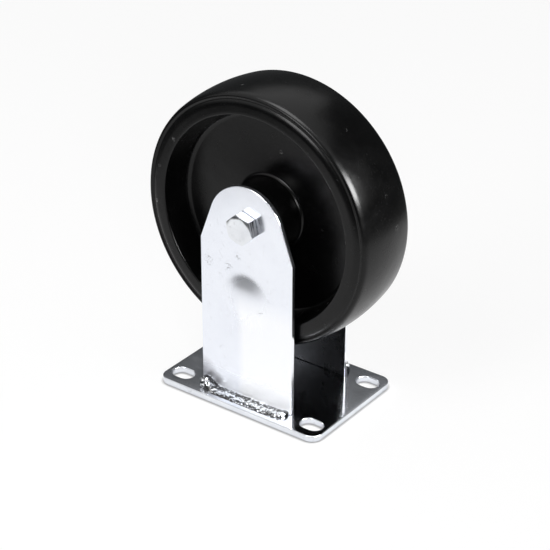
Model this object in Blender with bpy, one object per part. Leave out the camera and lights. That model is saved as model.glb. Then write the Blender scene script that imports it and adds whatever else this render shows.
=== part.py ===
"""A fixed castor that stands on its mounting plate, with its moulded wheel on top.

Units are metres and +Z is up. The origin is the middle of the plate's under face. X is the way
the wheel rolls and Y is the axle, with the bolt's head at -Y and its lock nut at +Y.
"""
import math

import bmesh
import bpy
from mathutils import Matrix, Vector

# Clearances
SEAT_GAP = 0.0003          # between pieces that rest on or in each other
CAGE_GAP = 0.0004          # between the roller cage and each race
BOLT_CLEARANCE = 0.0003    # between the axle bolt and every hole that it passes through

# Mounting plate
PLATE_LENGTH = 0.1130
PLATE_WIDTH = 0.0790
PLATE_THICKNESS = 0.0040
PLATE_CORNER = 0.0070
PLATE_EDGE_BREAK = 0.0004
SLOT_LENGTH = 0.0144
SLOT_WIDTH = 0.0104
SLOT_INSET_X = 0.0102      # from the plate's end to the slot's centre
SLOT_INSET_Y = 0.0113      # from the plate's side to the slot's centre

# Wheel
WHEEL_DIAMETER = 0.1524
WHEEL_CLEARANCE = 0.0341   # from the plate's top face to the tread
TREAD_WIDTH = 0.0448       # between the flat faces of the two side rings
TREAD_FALL = 0.0016        # how far the crowned tread drops from its middle to its edge
SHOULDER_WIDTH = 0.0054    # the round shoulder, measured along the axle
SHOULDER_FALL = 0.0023     # how far the shoulder drops from the tread's edge to the crease
SHOULDER_SET = 0.0006      # how far in from the side ring's face the shoulder ends
CREASE_DEPTH = 0.0004      # the moulded crease between the shoulder and the side ring
CREASE_WIDTH = 0.0005
RING_FALL = 0.0010         # how far the side ring's outer part curves in to the crease
RING_ROUND = 0.0038        # how much of the side ring that curve takes
RIM_THICKNESS = 0.0142     # from the tread to the lip of the hollow
RIM_DRAFT = 0.0032         # how much the hollow narrows from its lip to the web
LIP_ROUND = 0.0009
WEB_THICKNESS = 0.0100
WEB_FILLET = 0.0034
HUB_DIAMETER = 0.0430
HUB_DRAFT = 0.0016
HUB_PROUD = 0.0008         # how far each end of the hub stands out past the side rings
HUB_FILLET = 0.0025
HUB_END_ROUND = 0.0008

# Axle, sleeve and roller bearing
BOLT_DIAMETER = 0.0100
BOLT_TIP = 0.0012          # the chamfer at the bolt's end
BOLT_PROTRUSION = 0.0020   # how far the bolt stands out past its nut
HEX_ACROSS_FLATS = 0.0160
HEX_TURN = math.radians(43.3)
HEAD_HEIGHT = 0.0064
HEX_CHAMFER = 0.05         # part of the half width across flats that the chamfer takes
HEX_CHAMFER_ANGLE = math.radians(30)
SLEEVE_WALL = 0.0017
ROLLER_DIAMETER = 0.0034
ROLLER_END_BREAK = 0.0003
ROLLER_COUNT = 8
CAGE_RING = 0.0040         # length of the solid ring at each end of the cage
WASHER_THICKNESS = 0.0015
WASHER_DIAMETER = 0.0280
WASHER_EDGE_BREAK = 0.0002

# Lock nut
NUT_HEX_HEIGHT = 0.0068
NUT_COLLAR_HEIGHT = 0.0032
NUT_COLLAR_DIAMETER = 0.0148
NUT_COLLAR_WALL = 0.0008
NUT_LIP = 0.0007           # thickness of the rolled lip that keeps the insert in
INSERT_THICKNESS = 0.0022
INSERT_EDGE_BREAK = 0.0001

# Legs
LEG_WIDTH = 0.0635
LEG_THICKNESS = 0.0027
LEG_EDGE_BREAK = 0.0003
LEG_TOP_RADIUS = 0.0253
LEG_TOP_DROP = 0.0021      # from the axle down to the centre of the round top
SHOULDER_DROP = 0.0147     # from the axle down to where the taper starts
DIMPLE_DIAMETER = 0.0320
DIMPLE_HEIGHT = 0.0024
DIMPLE_DROP = 0.0463       # from the axle down to the dimple's centre

# Weld beads
BEAD_WIDTH = 0.0094        # out along the plate
BEAD_HEIGHT = 0.0021       # up the leg
BEAD_START_WIDTH = 0.0065
BEAD_START_HEIGHT = 0.0064
BEAD_START_RUN = 0.0090    # how far along the bead its tall, narrow start reaches
BEAD_END_WIDTH = 0.0065
BEAD_END_HEIGHT = 0.0038
BEAD_END_RUN = 0.0080      # how far back along the bead its end reaches
BEAD_TIP = 0.0030          # how far each end takes to round off
BEAD_TIP_SHARE = 0.5       # part of its section that the bead still has at its very tip
BEAD_OVERRUN = 0.0014      # how far the bead starts past the leg's edge
BEAD_SHORT = 0.0012        # how far it stops before the leg's other edge
BEAD_RIPPLE = 0.0005
BEAD_DRIFT = 0.0004        # the slow waver of the bead's edge
BEAD_PITCH = 0.0042

# Facets
WHEEL_SEGMENTS = 72
SMALL_SEGMENTS = 32
ROLLER_SEGMENTS = 12
CROWN_STEPS = 3
SHOULDER_STEPS = 4
RING_STEPS = 3
WHEEL_FILLET_STEPS = 2
PLATE_CORNER_STEPS = 6
SLOT_END_STEPS = 8
LEG_TOP_STEPS = 20
DOME_RINGS = 5
BEAD_STEPS_PER_RIPPLE = 3
BEAD_ARC_STEPS = 5
SMOOTH_ANGLE = math.radians(35)

# Places worked out from the sizes
AXLE_HEIGHT = PLATE_THICKNESS + WHEEL_CLEARANCE + WHEEL_DIAMETER / 2
WHEEL_RADIUS = WHEEL_DIAMETER / 2
BOLT_RADIUS = BOLT_DIAMETER / 2
BOLT_HOLE_RADIUS = BOLT_RADIUS + BOLT_CLEARANCE
SLEEVE_RADIUS = BOLT_HOLE_RADIUS + SLEEVE_WALL
BORE_RADIUS = SLEEVE_RADIUS + ROLLER_DIAMETER + 2 * SEAT_GAP
PITCH_RADIUS = (SLEEVE_RADIUS + BORE_RADIUS) / 2
HUB_HALF = TREAD_WIDTH / 2 + HUB_PROUD
WASHER_INNER_FACE = HUB_HALF + SEAT_GAP
WASHER_OUTER_FACE = WASHER_INNER_FACE + WASHER_THICKNESS
LEG_INNER_FACE = WASHER_OUTER_FACE + SEAT_GAP
LEG_OUTER_FACE = LEG_INNER_FACE + LEG_THICKNESS
LEG_FOOT = PLATE_THICKNESS + SEAT_GAP
NUT_FACE = LEG_OUTER_FACE + SEAT_GAP
NUT_HEIGHT = NUT_HEX_HEIGHT + NUT_COLLAR_HEIGHT
HEX_CORNER_RADIUS = HEX_ACROSS_FLATS / 2 / math.cos(math.pi / 6)

ZINC = (0.80, 0.82, 0.86, 1.0)
BLACK_PLASTIC = (0.020, 0.020, 0.021, 1.0)


def clear_scene():
    """Remove whatever the scene holds."""
    for item in list(bpy.data.objects):
        bpy.data.objects.remove(item, do_unlink=True)


def material(name, colour, roughness, metallic):
    """A plain Principled material."""
    made = bpy.data.materials.new(name)
    made.use_nodes = True
    shader = made.node_tree.nodes["Principled BSDF"]
    shader.inputs["Base Color"].default_value = colour
    shader.inputs["Roughness"].default_value = roughness
    shader.inputs["Metallic"].default_value = metallic
    made.diffuse_color = colour
    return made


def add_object(name, mesh, look, place=(0, 0, 0), parent=None):
    """Put a mesh into the scene, with its origin at a place in the world."""
    item = bpy.data.objects.new(name, mesh)
    bpy.context.collection.objects.link(item)
    if look is not None and not mesh.materials:
        mesh.materials.append(look)
    if parent is not None:
        item.parent = parent
        item.location = Vector(place) - parent.location
    else:
        item.location = place
    return item


def mesh_from(bm, name, smooth=True):
    """Turn a bmesh into a mesh whose faces point out."""
    bmesh.ops.recalc_face_normals(bm, faces=bm.faces)
    mesh = bpy.data.meshes.new(name)
    bm.to_mesh(mesh)
    bm.free()
    if smooth:
        mesh.shade_smooth()
        mesh.set_sharp_from_angle(angle=SMOOTH_ANGLE)
    return mesh


def rounded(corners):
    """Round the corners of a closed outline.

    corners is a list of (u, v, radius, steps). A radius is limited so that it never takes more
    than half of either side next to it.
    """
    points = []
    count = len(corners)
    for index, (u, v, radius, steps) in enumerate(corners):
        here = Vector((u, v))
        before = Vector(corners[index - 1][:2])
        after = Vector(corners[(index + 1) % count][:2])
        if radius <= 0:
            points.append(here)
            continue
        back = (before - here).normalized()
        ahead = (after - here).normalized()
        half_angle = back.angle(ahead) / 2
        reach = radius / math.tan(half_angle)
        limit = 0.48 * min((before - here).length, (after - here).length)
        if reach > limit:
            reach = limit
            radius = reach * math.tan(half_angle)
        centre = here + (back + ahead).normalized() * (radius / math.sin(half_angle))
        start = here + back * reach - centre
        end = here + ahead * reach - centre
        turn = start.angle_signed(end)
        for step in range(steps + 1):
            angle = -turn * step / steps
            spun = Matrix.Rotation(angle, 2) @ start
            points.append(centre + spun)
    return points


def bend(start, corner, end, steps):
    """Points on a curve that leaves start towards a corner and comes into end from it."""
    points = []
    for step in range(1, steps + 1):
        t = step / steps
        point = [(1 - t) ** 2 * a + 2 * t * (1 - t) * b + t ** 2 * c
                 for a, b, c in zip(start, corner, end)]
        points.append(tuple(point))
    return points


def turned(name, outline, segments, smooth=True):
    """Turn a closed outline of (y, radius) points about the Y axis."""
    bm = bmesh.new()
    verts = [bm.verts.new((radius, y, 0.0)) for y, radius in outline]
    edges = [bm.edges.new((verts[i - 1], verts[i])) for i in range(len(verts))]
    bmesh.ops.spin(bm, geom=verts + edges, cent=(0, 0, 0), axis=(0, 1, 0), dvec=(0, 0, 0),
                   angle=2 * math.pi, steps=segments, use_merge=True)
    return mesh_from(bm, name, smooth)


def turned_rod(name, profile, segments, smooth=True):
    """Turn an open profile of (y, radius) points about the Y axis and close both flat ends."""
    bm = bmesh.new()
    rings = []
    for y, radius in profile:
        ring = []
        for step in range(segments):
            angle = 2 * math.pi * step / segments
            ring.append(bm.verts.new((radius * math.cos(angle), y, radius * math.sin(angle))))
        rings.append(ring)
    for lower, upper in zip(rings, rings[1:]):
        for step in range(segments):
            after = (step + 1) % segments
            bm.faces.new((lower[step], lower[after], upper[after], upper[step]))
    bm.faces.new(rings[0])
    bm.faces.new(rings[-1])
    return mesh_from(bm, name, smooth)


def prism(name, outline, start, end, up_axis):
    """Extrude an outline between two heights, along Z, or along Y for an upright sheet."""
    bm = bmesh.new()
    if up_axis == "Z":
        base = [bm.verts.new((u, v, start)) for u, v in outline]
        travel = Vector((0, 0, end - start))
    else:
        base = [bm.verts.new((u, start, v)) for u, v in outline]
        travel = Vector((0, end - start, 0))
    face = bm.faces.new(base)
    grown = bmesh.ops.extrude_face_region(bm, geom=[face])
    moved = [part for part in grown["geom"] if isinstance(part, bmesh.types.BMVert)]
    bmesh.ops.translate(bm, verts=moved, vec=travel)
    return mesh_from(bm, name)


def break_edges(item, width):
    """Take the sharp edge off a sheared or cut piece."""
    bevel = item.modifiers.new("edge_break", "BEVEL")
    bevel.width = width
    bevel.segments = 1
    bevel.limit_method = "ANGLE"
    bevel.angle_limit = math.radians(60)
    bevel.harden_normals = False


def combine(item, tool, operation, name):
    """Cut, join or trim a piece with a hidden tool shape."""
    tool.hide_render = True
    tool.display_type = "WIRE"
    change = item.modifiers.new(name, "BOOLEAN")
    change.operation = operation
    change.solver = "EXACT"
    change.object = tool


def hexagon():
    """The corners of the hexagon that the bolt's head and the nut share, in X and Z."""
    corners = []
    for step in range(6):
        angle = HEX_TURN + step * math.pi / 3
        corners.append((HEX_CORNER_RADIUS * math.cos(angle), HEX_CORNER_RADIUS * math.sin(angle)))
    return corners


def stadium(centre_x, centre_y, length, width):
    """A slot's outline: two half circles joined by straight sides, long way along X."""
    radius = width / 2
    run = max(length - width, 0) / 2
    points = []
    for end, first in ((1, -math.pi / 2), (-1, math.pi / 2)):
        for step in range(SLOT_END_STEPS + 1):
            angle = first + math.pi * step / SLOT_END_STEPS
            x = centre_x + end * run + radius * math.cos(angle)
            y = centre_y + radius * math.sin(angle)
            points.append((x, y))
    return points


def add_plate(look):
    """The flat mounting plate with its round corners and four slots."""
    half_x = PLATE_LENGTH / 2
    half_y = PLATE_WIDTH / 2
    corners = []
    for side_x, side_y in ((1, 1), (-1, 1), (-1, -1), (1, -1)):
        corners.append((side_x * half_x, side_y * half_y, PLATE_CORNER, PLATE_CORNER_STEPS))
    outline = rounded(corners)
    plate_mesh = prism("mounting_plate", outline, 0, PLATE_THICKNESS, "Z")
    plate = add_object("mounting_plate", plate_mesh, look)
    break_edges(plate, PLATE_EDGE_BREAK)
    for side_x in (-1, 1):
        for side_y in (-1, 1):
            centre_x = side_x * (half_x - SLOT_INSET_X)
            centre_y = side_y * (half_y - SLOT_INSET_Y)
            slot = stadium(centre_x, centre_y, SLOT_LENGTH, SLOT_WIDTH)
            name = f"slot_cutter_{side_x}_{side_y}"
            cutter_mesh = prism(name, slot, -PLATE_THICKNESS, 2 * PLATE_THICKNESS, "Z")
            cutter = add_object(name, cutter_mesh, None)
            combine(plate, cutter, "DIFFERENCE", name)
    return plate


def leg_outline():
    """A leg's outline about the axle, in X and Z: square foot, tapered sides and a round top."""
    half = LEG_WIDTH / 2
    foot = LEG_FOOT - AXLE_HEIGHT
    corner = Vector((half, -SHOULDER_DROP))
    centre = Vector((0, -LEG_TOP_DROP))
    to_corner = corner - centre
    lean = math.acos(min(LEG_TOP_RADIUS / to_corner.length, 1))
    first = math.atan2(to_corner.y, to_corner.x) + lean
    points = [(-half, foot), (half, foot), (half, -SHOULDER_DROP)]
    for step in range(LEG_TOP_STEPS + 1):
        angle = first + (math.pi - 2 * first) * step / LEG_TOP_STEPS
        points.append((LEG_TOP_RADIUS * math.cos(angle), centre.y + LEG_TOP_RADIUS * math.sin(angle)))
    points.append((-half, -SHOULDER_DROP))
    return points


def dome(name, radius, height, base):
    """A shallow round dome that stands on a straight base and points to -Y."""
    ball = (radius * radius + height * height) / (2 * height)
    spread = math.asin(min(radius / ball, 1))
    profile = [(base, radius)]
    for ring in range(DOME_RINGS):
        angle = spread * (1 - ring / DOME_RINGS)
        profile.append((ball - height - ball * math.cos(angle), ball * math.sin(angle)))
    return turned_rod(name, profile, SMALL_SEGMENTS)


def add_leg(name, side, look):
    """One stamped leg. side is -1 for the leg at the bolt's head and 1 for the leg at its nut."""
    inner = -LEG_INNER_FACE
    outer = -LEG_OUTER_FACE
    leg = add_object(name, prism(name, leg_outline(), outer, inner, "Y"), look, (0, 0, AXLE_HEIGHT))
    break_edges(leg, LEG_EDGE_BREAK)
    turn = 0 if side < 0 else math.pi
    leg.rotation_euler = (0, 0, turn)
    dimple_radius = DIMPLE_DIAMETER / 2
    hollow_radius = dimple_radius - LEG_THICKNESS / 2
    hollow_height = DIMPLE_HEIGHT * hollow_radius / dimple_radius
    hole_profile = [(-LEG_THICKNESS, BOLT_HOLE_RADIUS), (2 * LEG_THICKNESS, BOLT_HOLE_RADIUS)]
    tools = (
        ("dimple", "UNION", dome("dimple", dimple_radius, DIMPLE_HEIGHT, LEG_THICKNESS / 2),
         outer, -DIMPLE_DROP),
        ("dimple_hollow", "DIFFERENCE",
         dome("dimple_hollow", hollow_radius, hollow_height, LEG_THICKNESS),
         inner, -DIMPLE_DROP),
        ("axle_hole", "DIFFERENCE", turned_rod("axle_hole", hole_profile, SMALL_SEGMENTS),
         outer, 0),
    )
    for label, operation, mesh, y, z in tools:
        tool = add_object(f"{name}_{label}_tool", mesh, None)
        tool.parent = leg
        tool.location = (0, y, z)
        combine(leg, tool, operation, label)
    return leg


def bead_section(distance, length):
    """How far the bead reaches out along the plate and up the leg, at a distance along it."""
    near_start = math.exp(-(distance / BEAD_START_RUN) ** 4)
    near_end = math.exp(-((length - distance) / BEAD_END_RUN) ** 2)
    width = BEAD_WIDTH + (BEAD_START_WIDTH - BEAD_WIDTH) * near_start
    width += (BEAD_END_WIDTH - BEAD_WIDTH) * near_end
    height = BEAD_HEIGHT + (BEAD_START_HEIGHT - BEAD_HEIGHT) * near_start
    height += (BEAD_END_HEIGHT - BEAD_HEIGHT) * near_end
    turn = math.pi * distance / BEAD_PITCH
    swell = BEAD_RIPPLE * (abs(math.sin(turn)) - 0.5) + BEAD_DRIFT * math.sin(turn / math.e)
    from_tip = min(distance, length - distance, BEAD_TIP) / BEAD_TIP
    share = BEAD_TIP_SHARE + (1 - BEAD_TIP_SHARE) * math.sqrt(1 - (1 - from_tip) ** 2)
    return (width + swell) * share, (height + swell / 2) * share


def add_bead(name, side, look):
    """The rippled weld bead along the foot of one leg, on the leg's outer face."""
    bm = bmesh.new()
    start = -LEG_WIDTH / 2 - BEAD_OVERRUN
    length = LEG_WIDTH + BEAD_OVERRUN - BEAD_SHORT
    back = -LEG_OUTER_FACE - SEAT_GAP
    foot = PLATE_THICKNESS + SEAT_GAP
    count = max(math.ceil(length * BEAD_STEPS_PER_RIPPLE / BEAD_PITCH), 2)
    rings = []
    for station in range(count + 1):
        distance = length * station / count
        width, height = bead_section(distance, length)
        x = start + distance
        ring = [bm.verts.new((x, back, foot))]
        for step in range(BEAD_ARC_STEPS + 1):
            angle = math.pi / 2 * step / BEAD_ARC_STEPS
            out = width * math.cos(angle)
            up = height * math.sin(angle)
            ring.append(bm.verts.new((x, back - out, foot + up)))
        rings.append(ring)
    sides = len(rings[0])
    for first, second in zip(rings, rings[1:]):
        for step in range(sides):
            after = (step + 1) % sides
            bm.faces.new((first[step], first[after], second[after], second[step]))
    bm.faces.new(rings[0])
    bm.faces.new(rings[-1])
    bead = add_object(name, mesh_from(bm, name), look)
    bead.rotation_euler = (0, 0, 0 if side < 0 else math.pi)
    return bead


def wheel_outline():
    """Half of the wheel's section, from the middle of the tread round to the bore, as (y, radius)."""
    half = TREAD_WIDTH / 2
    tread_edge = half - SHOULDER_WIDTH
    edge_radius = WHEEL_RADIUS - TREAD_FALL
    crown = (tread_edge ** 2 + TREAD_FALL ** 2) / (2 * TREAD_FALL)
    spread = math.asin(min(tread_edge / crown, 1))
    points = []
    for step in range(CROWN_STEPS + 1):
        angle = spread * step / CROWN_STEPS
        points.append((crown * math.sin(angle), WHEEL_RADIUS - crown * (1 - math.cos(angle))))
    shoulder_foot = (half - SHOULDER_SET, edge_radius - SHOULDER_FALL)
    crown_slope = tread_edge / math.sqrt(max(crown ** 2 - tread_edge ** 2, tread_edge ** 2))
    shoulder_corner = (shoulder_foot[0], edge_radius - crown_slope * (shoulder_foot[0] - tread_edge))
    points += bend(points[-1], shoulder_corner, shoulder_foot, SHOULDER_STEPS)
    ring_edge = (half - RING_FALL, shoulder_foot[1] - CREASE_WIDTH)
    points.append((ring_edge[0] - CREASE_DEPTH, shoulder_foot[1] - CREASE_WIDTH / 2))
    points.append(ring_edge)
    ring_end = (half, ring_edge[1] - RING_ROUND)
    points += bend(ring_edge, (half, (ring_edge[1] + ring_end[1]) / 2), ring_end, RING_STEPS)
    lip = WHEEL_RADIUS - RIM_THICKNESS
    web = WEB_THICKNESS / 2
    hub = HUB_DIAMETER / 2
    corners = [
        (*ring_end, 0, 0),
        (half, lip, LIP_ROUND, WHEEL_FILLET_STEPS),
        (web, lip - RIM_DRAFT, WEB_FILLET, WHEEL_FILLET_STEPS),
        (web, hub, HUB_FILLET, WHEEL_FILLET_STEPS),
        (HUB_HALF, hub - HUB_DRAFT, HUB_END_ROUND, 1),
        (HUB_HALF, BORE_RADIUS, 0, 0),
    ]
    body = rounded(corners)
    points.extend((point.x, point.y) for point in body[1:])
    return points


def add_wheel(look, hub_empty):
    """The moulded wheel: crowned tread, hollow on both sides, flat web and hub in one piece."""
    half = wheel_outline()
    other = [(-y, radius) for y, radius in reversed(half[1:])]
    outline = half + other
    mesh = turned("wheel", outline, WHEEL_SEGMENTS)
    return add_object("wheel", mesh, look, hub_empty.location, hub_empty)


def ring_outline(start, end, inner, outer, edge_break):
    """A plain ring's section with its edges broken, as (y, radius)."""
    corners = [(start, inner), (start, outer - edge_break), (start + edge_break, outer),
               (end - edge_break, outer), (end, outer - edge_break), (end, inner)]
    return corners


def add_sleeve(look, axle_empty):
    """The steel tube that the legs clamp, and that the rollers run on."""
    half = LEG_INNER_FACE - SEAT_GAP
    outline = ring_outline(-half, half, BOLT_HOLE_RADIUS, SLEEVE_RADIUS, SEAT_GAP)
    return add_object("axle_sleeve", turned("axle_sleeve", outline, SMALL_SEGMENTS), look,
                      axle_empty.location, axle_empty)


def add_washers(look, axle_empty):
    """The end washer on each side, between the hub and the leg."""
    inner = SLEEVE_RADIUS + SEAT_GAP
    outer = WASHER_DIAMETER / 2
    for name, start, end in (("near_end_washer", -WASHER_OUTER_FACE, -WASHER_INNER_FACE),
                             ("far_end_washer", WASHER_INNER_FACE, WASHER_OUTER_FACE)):
        outline = ring_outline(start, end, inner, outer, WASHER_EDGE_BREAK)
        add_object(name, turned(name, outline, SMALL_SEGMENTS), look, axle_empty.location, axle_empty)


def add_cage(look, hub_empty):
    """The moulded cage that keeps the rollers apart, with one open pocket for each."""
    inner = SLEEVE_RADIUS + CAGE_GAP
    outer = BORE_RADIUS - CAGE_GAP
    outline = ring_outline(-HUB_HALF, HUB_HALF, inner, outer, ROLLER_END_BREAK)
    cage = add_object("roller_cage", turned("roller_cage", outline, SMALL_SEGMENTS), look,
                      hub_empty.location, hub_empty)
    half_width = ROLLER_DIAMETER / 2 + SEAT_GAP
    half_length = HUB_HALF - CAGE_RING
    low = inner - CAGE_GAP
    high = outer + CAGE_GAP
    bm = bmesh.new()
    for index in range(ROLLER_COUNT):
        made = bmesh.ops.create_cube(bm, size=1.0)
        size = Matrix.Diagonal((high - low, 2 * half_length, 2 * half_width, 1))
        shift = Matrix.Translation(((low + high) / 2, 0, 0))
        turn = Matrix.Rotation(2 * math.pi * index / ROLLER_COUNT, 4, "Y")
        bmesh.ops.transform(bm, matrix=turn @ shift @ size, verts=made["verts"])
    pockets = add_object("cage_pocket_cutter", mesh_from(bm, "cage_pocket_cutter", False), None,
                         hub_empty.location, hub_empty)
    combine(cage, pockets, "DIFFERENCE", "pockets")
    return cage


def add_rollers(look, hub_empty):
    """The rollers, each one in its pocket and with its origin on its own axis."""
    radius = ROLLER_DIAMETER / 2
    half = HUB_HALF - CAGE_RING - SEAT_GAP
    profile = [(-half, radius - ROLLER_END_BREAK), (-half + ROLLER_END_BREAK, radius),
               (half - ROLLER_END_BREAK, radius), (half, radius - ROLLER_END_BREAK)]
    mesh = turned_rod("roller", profile, ROLLER_SEGMENTS)
    for index in range(ROLLER_COUNT):
        angle = 2 * math.pi * index / ROLLER_COUNT
        centre = Vector((PITCH_RADIUS * math.cos(angle), 0, -PITCH_RADIUS * math.sin(angle)))
        add_object(f"roller_{index + 1}", mesh, look, hub_empty.location + centre, hub_empty)


def hex_tool(name, start, end, axle_empty):
    """A long hexagonal bar that trims a turned blank to its flats."""
    mesh = prism(name, hexagon(), start, end, "Y")
    return add_object(name, mesh, None, axle_empty.location, axle_empty)


def chamfer_circle():
    """The flat circle on a hexagon's face inside its chamfer, and how deep the chamfer runs."""
    flat = HEX_ACROSS_FLATS / 2 * (1 - HEX_CHAMFER)
    blank = HEX_CORNER_RADIUS + SEAT_GAP
    depth = (blank - flat) * math.tan(HEX_CHAMFER_ANGLE)
    return flat, blank, depth


def add_bolt(look, axle_empty):
    """The axle bolt: chamfered hexagonal head at -Y and a plain shank through to past the nut."""
    flat, blank, depth = chamfer_circle()
    under_head = -LEG_OUTER_FACE - SEAT_GAP
    top = under_head - HEAD_HEIGHT
    tip = NUT_FACE + NUT_HEIGHT + BOLT_PROTRUSION
    profile = [(top, flat), (top + depth, blank), (under_head, blank), (under_head, BOLT_RADIUS),
               (tip - BOLT_TIP, BOLT_RADIUS), (tip, BOLT_RADIUS - BOLT_TIP)]
    bolt = add_object("axle_bolt", turned_rod("axle_bolt", profile, SMALL_SEGMENTS), look,
                      axle_empty.location, axle_empty)
    tool = hex_tool("head_hexagon_tool", top - HEAD_HEIGHT, tip + HEAD_HEIGHT, axle_empty)
    combine(bolt, tool, "INTERSECT", "flats")
    return bolt


def add_nut(look, axle_empty):
    """The lock nut at +Y: hexagon, round collar and a rolled lip over the insert."""
    flat, blank, depth = chamfer_circle()
    collar = NUT_COLLAR_DIAMETER / 2
    seat = collar - NUT_COLLAR_WALL
    hex_end = NUT_FACE + NUT_HEX_HEIGHT
    end = NUT_FACE + NUT_HEIGHT
    lip_radius = BOLT_HOLE_RADIUS + NUT_LIP
    outline = [(NUT_FACE, BOLT_HOLE_RADIUS), (NUT_FACE, flat), (NUT_FACE + depth, blank),
               (hex_end - depth, blank), (hex_end, flat), (hex_end, collar),
               (end - NUT_LIP, collar), (end, seat),
               (end, lip_radius), (end - NUT_LIP, lip_radius),
               (end - NUT_LIP, seat), (hex_end, seat), (hex_end, BOLT_HOLE_RADIUS)]
    nut = add_object("lock_nut", turned("lock_nut", outline, SMALL_SEGMENTS), look,
                     axle_empty.location, axle_empty)
    tool = hex_tool("nut_hexagon_tool", NUT_FACE - NUT_HEIGHT, end + NUT_HEIGHT, axle_empty)
    combine(nut, tool, "INTERSECT", "flats")
    return nut


def add_insert(look, axle_empty):
    """The nylon ring inside the lock nut's collar."""
    seat = NUT_COLLAR_DIAMETER / 2 - NUT_COLLAR_WALL
    start = NUT_FACE + NUT_HEX_HEIGHT + SEAT_GAP / 2
    end = min(start + INSERT_THICKNESS, NUT_FACE + NUT_HEIGHT - NUT_LIP - SEAT_GAP / 2)
    outline = ring_outline(start, end, BOLT_HOLE_RADIUS, seat - SEAT_GAP, INSERT_EDGE_BREAK)
    return add_object("lock_nut_insert", turned("lock_nut_insert", outline, SMALL_SEGMENTS), look,
                      axle_empty.location, axle_empty)


def add_empty(name, place):
    """An empty that carries the pieces on one axis."""
    made = bpy.data.objects.new(name, None)
    bpy.context.collection.objects.link(made)
    made.location = place
    return made


def main():
    clear_scene()
    zinc_plate = material("zinc_plate", ZINC, 0.18, 1.0)
    zinc_leg = material("zinc_leg", ZINC, 0.22, 1.0)
    weld_metal = material("weld_metal", (0.62, 0.64, 0.68, 1.0), 0.30, 1.0)
    wheel_plastic = material("wheel_plastic", BLACK_PLASTIC, 0.38, 0.0)
    bright_steel = material("bright_steel", (0.60, 0.60, 0.61, 1.0), 0.20, 1.0)
    zinc_fastener = material("zinc_fastener", ZINC, 0.25, 1.0)
    cage_nylon = material("cage_nylon", (0.03, 0.03, 0.03, 1.0), 0.45, 0.0)
    insert_nylon = material("insert_nylon", (0.75, 0.76, 0.72, 1.0), 0.40, 0.0)

    axle_centre = Vector((0, 0, AXLE_HEIGHT))
    axle_empty = add_empty("axle_line", axle_centre)
    hub_empty = add_empty("wheel_axis", axle_centre)

    add_plate(zinc_plate)
    add_leg("near_leg", -1, zinc_leg)
    add_leg("far_leg", 1, zinc_leg)
    add_bead("near_weld", -1, weld_metal)
    add_bead("far_weld", 1, weld_metal)
    add_wheel(wheel_plastic, hub_empty)
    add_cage(cage_nylon, hub_empty)
    add_rollers(bright_steel, hub_empty)
    add_sleeve(bright_steel, axle_empty)
    add_washers(zinc_fastener, axle_empty)
    add_bolt(zinc_fastener, axle_empty)
    add_nut(zinc_fastener, axle_empty)
    add_insert(insert_nylon, axle_empty)
    bpy.context.view_layer.update()


main()
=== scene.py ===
"""The looks of the fixed castor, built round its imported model.

Lengths are metres. The wheel's axle lies along Y at AXLE above the floor, and the bolt's head is at -Y.
"""
import math

import bmesh
import bpy
from mathutils import Matrix, Vector, noise


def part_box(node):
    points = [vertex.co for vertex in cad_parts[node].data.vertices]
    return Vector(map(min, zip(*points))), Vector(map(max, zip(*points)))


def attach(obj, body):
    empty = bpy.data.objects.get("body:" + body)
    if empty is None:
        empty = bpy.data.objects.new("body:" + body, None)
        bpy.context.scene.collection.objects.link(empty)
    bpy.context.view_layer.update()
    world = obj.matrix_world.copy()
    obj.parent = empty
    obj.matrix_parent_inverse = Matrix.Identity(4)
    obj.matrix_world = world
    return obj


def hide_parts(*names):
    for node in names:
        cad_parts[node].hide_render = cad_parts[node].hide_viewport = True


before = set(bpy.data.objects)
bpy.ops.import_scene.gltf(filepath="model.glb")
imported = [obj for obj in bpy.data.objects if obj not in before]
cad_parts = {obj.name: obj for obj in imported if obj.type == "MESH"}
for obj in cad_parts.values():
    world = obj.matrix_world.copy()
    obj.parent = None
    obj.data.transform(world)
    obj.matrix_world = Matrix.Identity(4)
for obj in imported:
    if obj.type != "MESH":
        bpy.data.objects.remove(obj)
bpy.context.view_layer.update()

MM = 0.001

# Sizes and places that the new pieces take from the solids
plate_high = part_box("mounting_plate")[1]
wheel_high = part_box("wheel")[1]
leg_low, leg_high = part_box("far_leg")
sleeve_low, sleeve_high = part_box("axle_sleeve")
bolt_low, bolt_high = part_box("axle_bolt")
nut_low, nut_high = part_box("lock_nut")
AXLE = (sleeve_low.z + sleeve_high.z) / 2    # height of the wheel's axle
PLATE_HALF_LENGTH = plate_high.x
PLATE_HALF_WIDTH = plate_high.y
PLATE_TOP = plate_high.z
WHEEL_RADIUS = wheel_high.x
HUB_END = wheel_high.y
LEG_HALF = leg_high.x      # half a leg's width
LEG_FOOT = leg_low.z
LEG_IN = leg_low.y         # from the wheel's middle to a leg's inner face
HEAD_TOP = bolt_low.y
BOLT_END = bolt_high.y
NUT_FACE = nut_low.y       # the nut's seat on the leg
NUT_END = nut_high.y

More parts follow.
